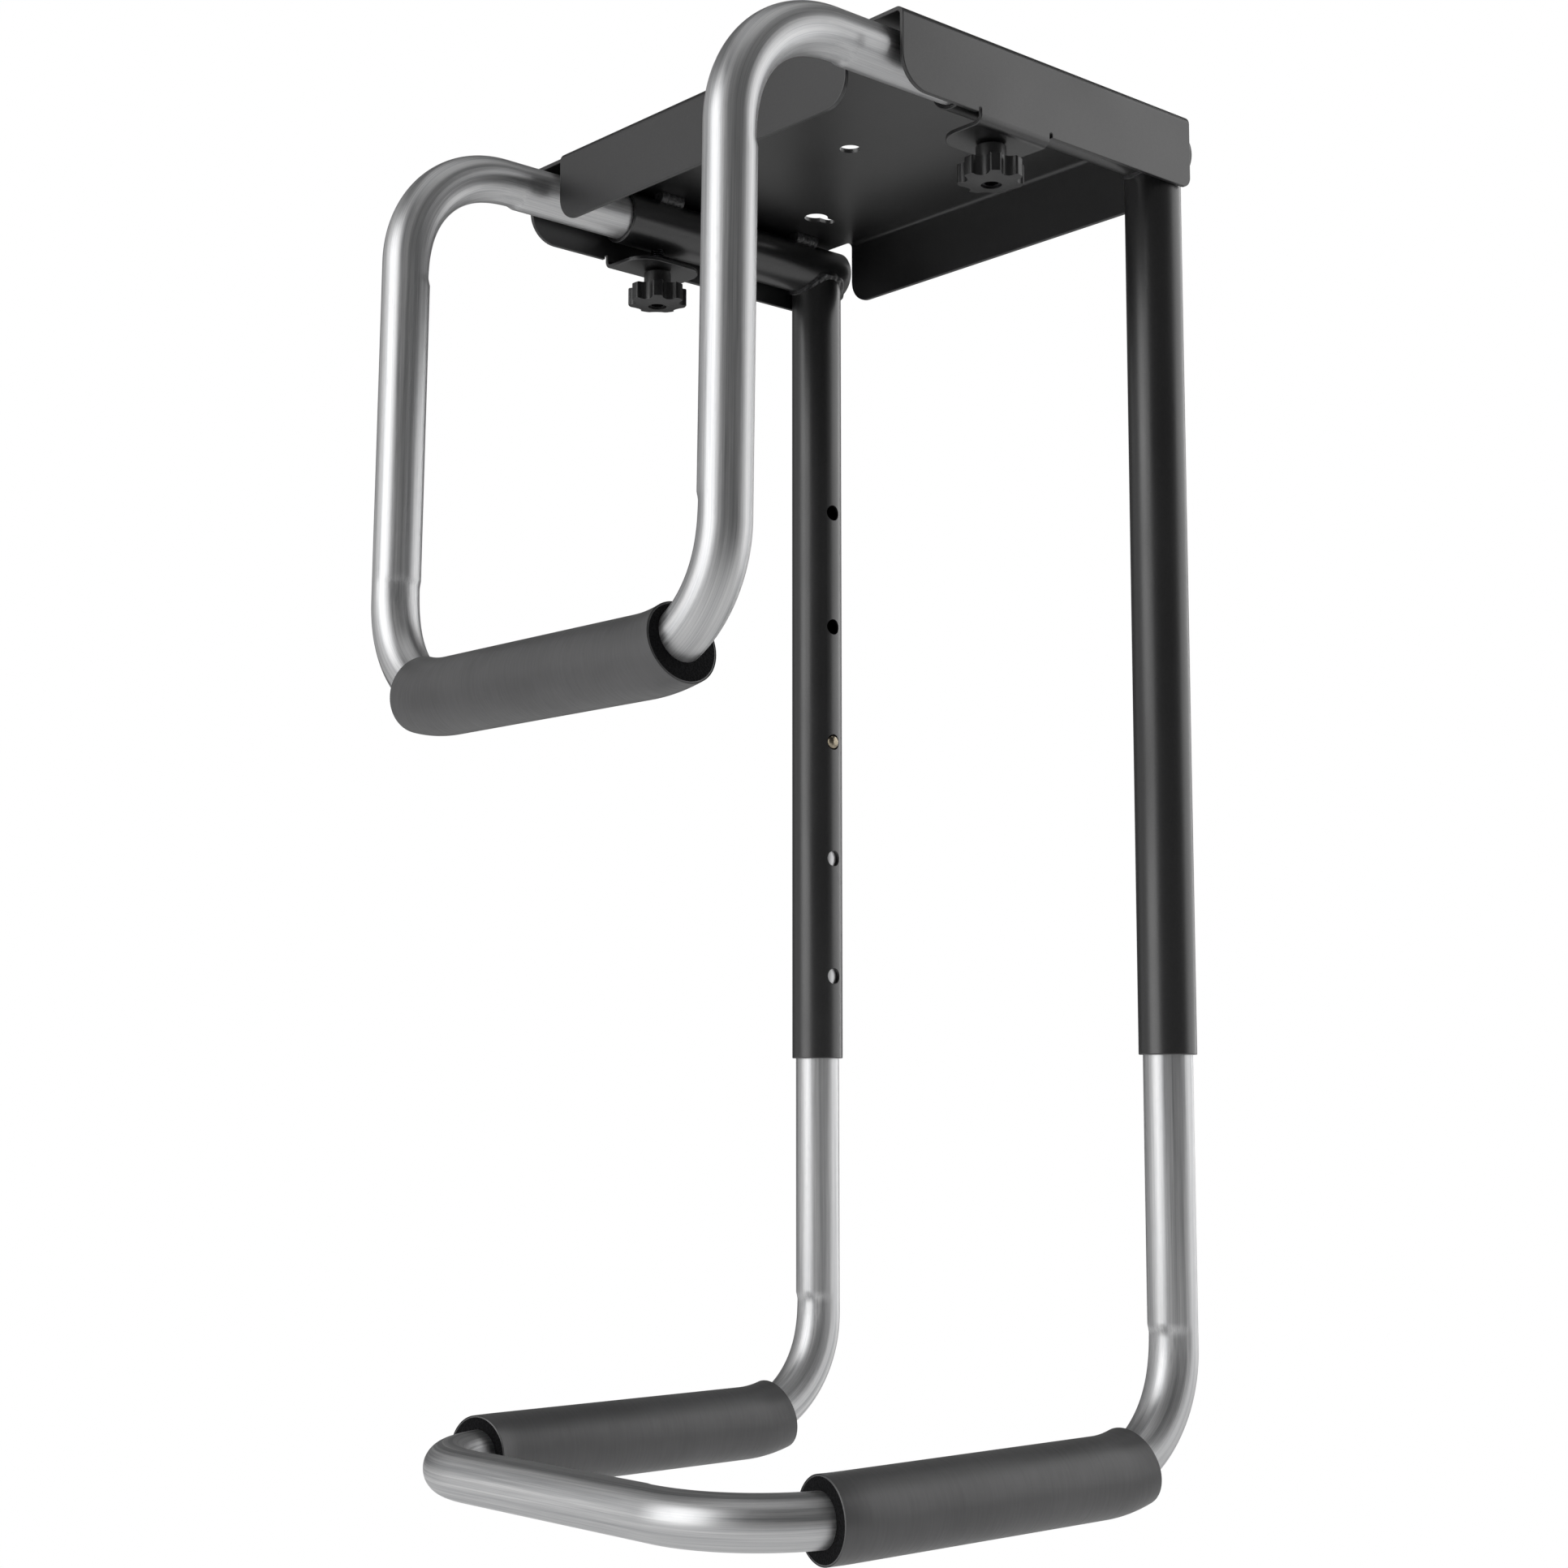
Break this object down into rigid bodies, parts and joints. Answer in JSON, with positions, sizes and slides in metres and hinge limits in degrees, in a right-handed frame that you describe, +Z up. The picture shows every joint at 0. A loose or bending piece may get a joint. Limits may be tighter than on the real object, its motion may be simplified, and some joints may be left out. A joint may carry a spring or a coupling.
{
  "type": "under-desk computer holder",
  "caption": "Under-desk holder for a desktop computer: folded steel mounting plate, sliding side loop, height-adjustable cradle with snap buttons, foam sleeves and star-knob clamps.",
  "frame": {"origin": "middle of the mounting plate's desk face", "axes": "+Z up, out of the desk face; +X from the sliding loop towards the two uprights; +Y towards the rear of the computer"},
  "size_m": [0.2898, 0.2644, 0.6242],
  "materials": {
    "black_coat": "satin",
    "brushed_aluminium": "satin",
    "foam": "matte",
    "knob_plastic": "satin",
    "plug_plastic": "satin",
    "nickel": "satin",
    "spring_steel": "satin",
    "black_steel": "satin"
  },
  "bodies": {
    "frame": {"mounting_plate": "black_coat", "guide_tube_front": "black_coat", "guide_tube_rear": "black_coat", "upright_front": "black_coat", "upright_rear": "black_coat", "guide_welds_front": "black_coat", "guide_welds_rear": "black_coat", "saddle_weld_front": "black_coat", "saddle_weld_rear": "black_coat", "guide_plug_front": "plug_plastic", "guide_plug_rear": "plug_plastic", "clamp_nut_front": "black_steel", "clamp_nut_rear": "black_steel"},
    "loop": {"loop_tube": "brushed_aluminium", "loop_sleeve": "foam"},
    "cradle": {"cradle_tube": "brushed_aluminium", "foot_sleeve_front": "foam", "foot_sleeve_rear": "foam", "button_spring_front": "spring_steel", "button_spring_rear": "spring_steel"},
    "button_front": {"snap_button_front": "nickel"},
    "clamp_lift_front": {"knob_insert_front": "black_steel"},
    "clamp_turn_front": {"clamp_knob_front": "knob_plastic", "clamp_screw_front": "black_steel"},
    "button_rear": {"snap_button_rear": "nickel"},
    "clamp_lift_rear": {"knob_insert_rear": "black_steel"},
    "clamp_turn_rear": {"clamp_knob_rear": "knob_plastic", "clamp_screw_rear": "black_steel"}
  },
  "joints": [
    {"name": "loop_width", "type": "slide", "parent": "frame", "child": "loop", "axis": [1, 0, 0], "range_m": [-0.02, 0.065]},
    {"name": "cradle_height", "type": "slide", "parent": "frame", "child": "cradle", "axis": [0, 0, 1], "range_m": [-0.12, 0.12], "deforming": ["snap_button_front", "snap_button_rear"]},
    {"name": "button_press_front", "type": "slide", "parent": "cradle", "child": "button_front", "axis": [0, -1, 0], "range_m": [0, 0.0035], "stiffness_N_per_m": 900, "deforming": ["button_spring_front"]},
    {"name": "clamp_advance_front", "type": "slide", "parent": "frame", "child": "clamp_lift_front", "axis": [0, 0, 1], "range_m": [-0.00205, 0.00001]},
    {"name": "clamp_turn_front", "type": "hinge", "parent": "clamp_lift_front", "child": "clamp_turn_front", "pos_m": [-0.02445, -0.11495, -0.05], "axis": [0, 0, 1], "range_deg": [-720, 0]},
    {"name": "button_press_rear", "type": "slide", "parent": "cradle", "child": "button_rear", "axis": [0, 1, 0], "range_m": [0, 0.0035], "stiffness_N_per_m": 900, "deforming": ["button_spring_rear"]},
    {"name": "clamp_advance_rear", "type": "slide", "parent": "frame", "child": "clamp_lift_rear", "axis": [0, 0, 1], "range_m": [-0.00205, 0.00001]},
    {"name": "clamp_turn_rear", "type": "hinge", "parent": "clamp_lift_rear", "child": "clamp_turn_rear", "pos_m": [-0.02445, 0.11495, -0.05], "axis": [0, 0, 1], "range_deg": [-720, 0]}
  ],
  "couplings": [
    {"joint": "clamp_advance_front", "follows": "clamp_turn_front", "m_per_rad": 0.00015915},
    {"joint": "clamp_advance_rear", "follows": "clamp_turn_rear", "m_per_rad": 0.00015915}
  ]
}
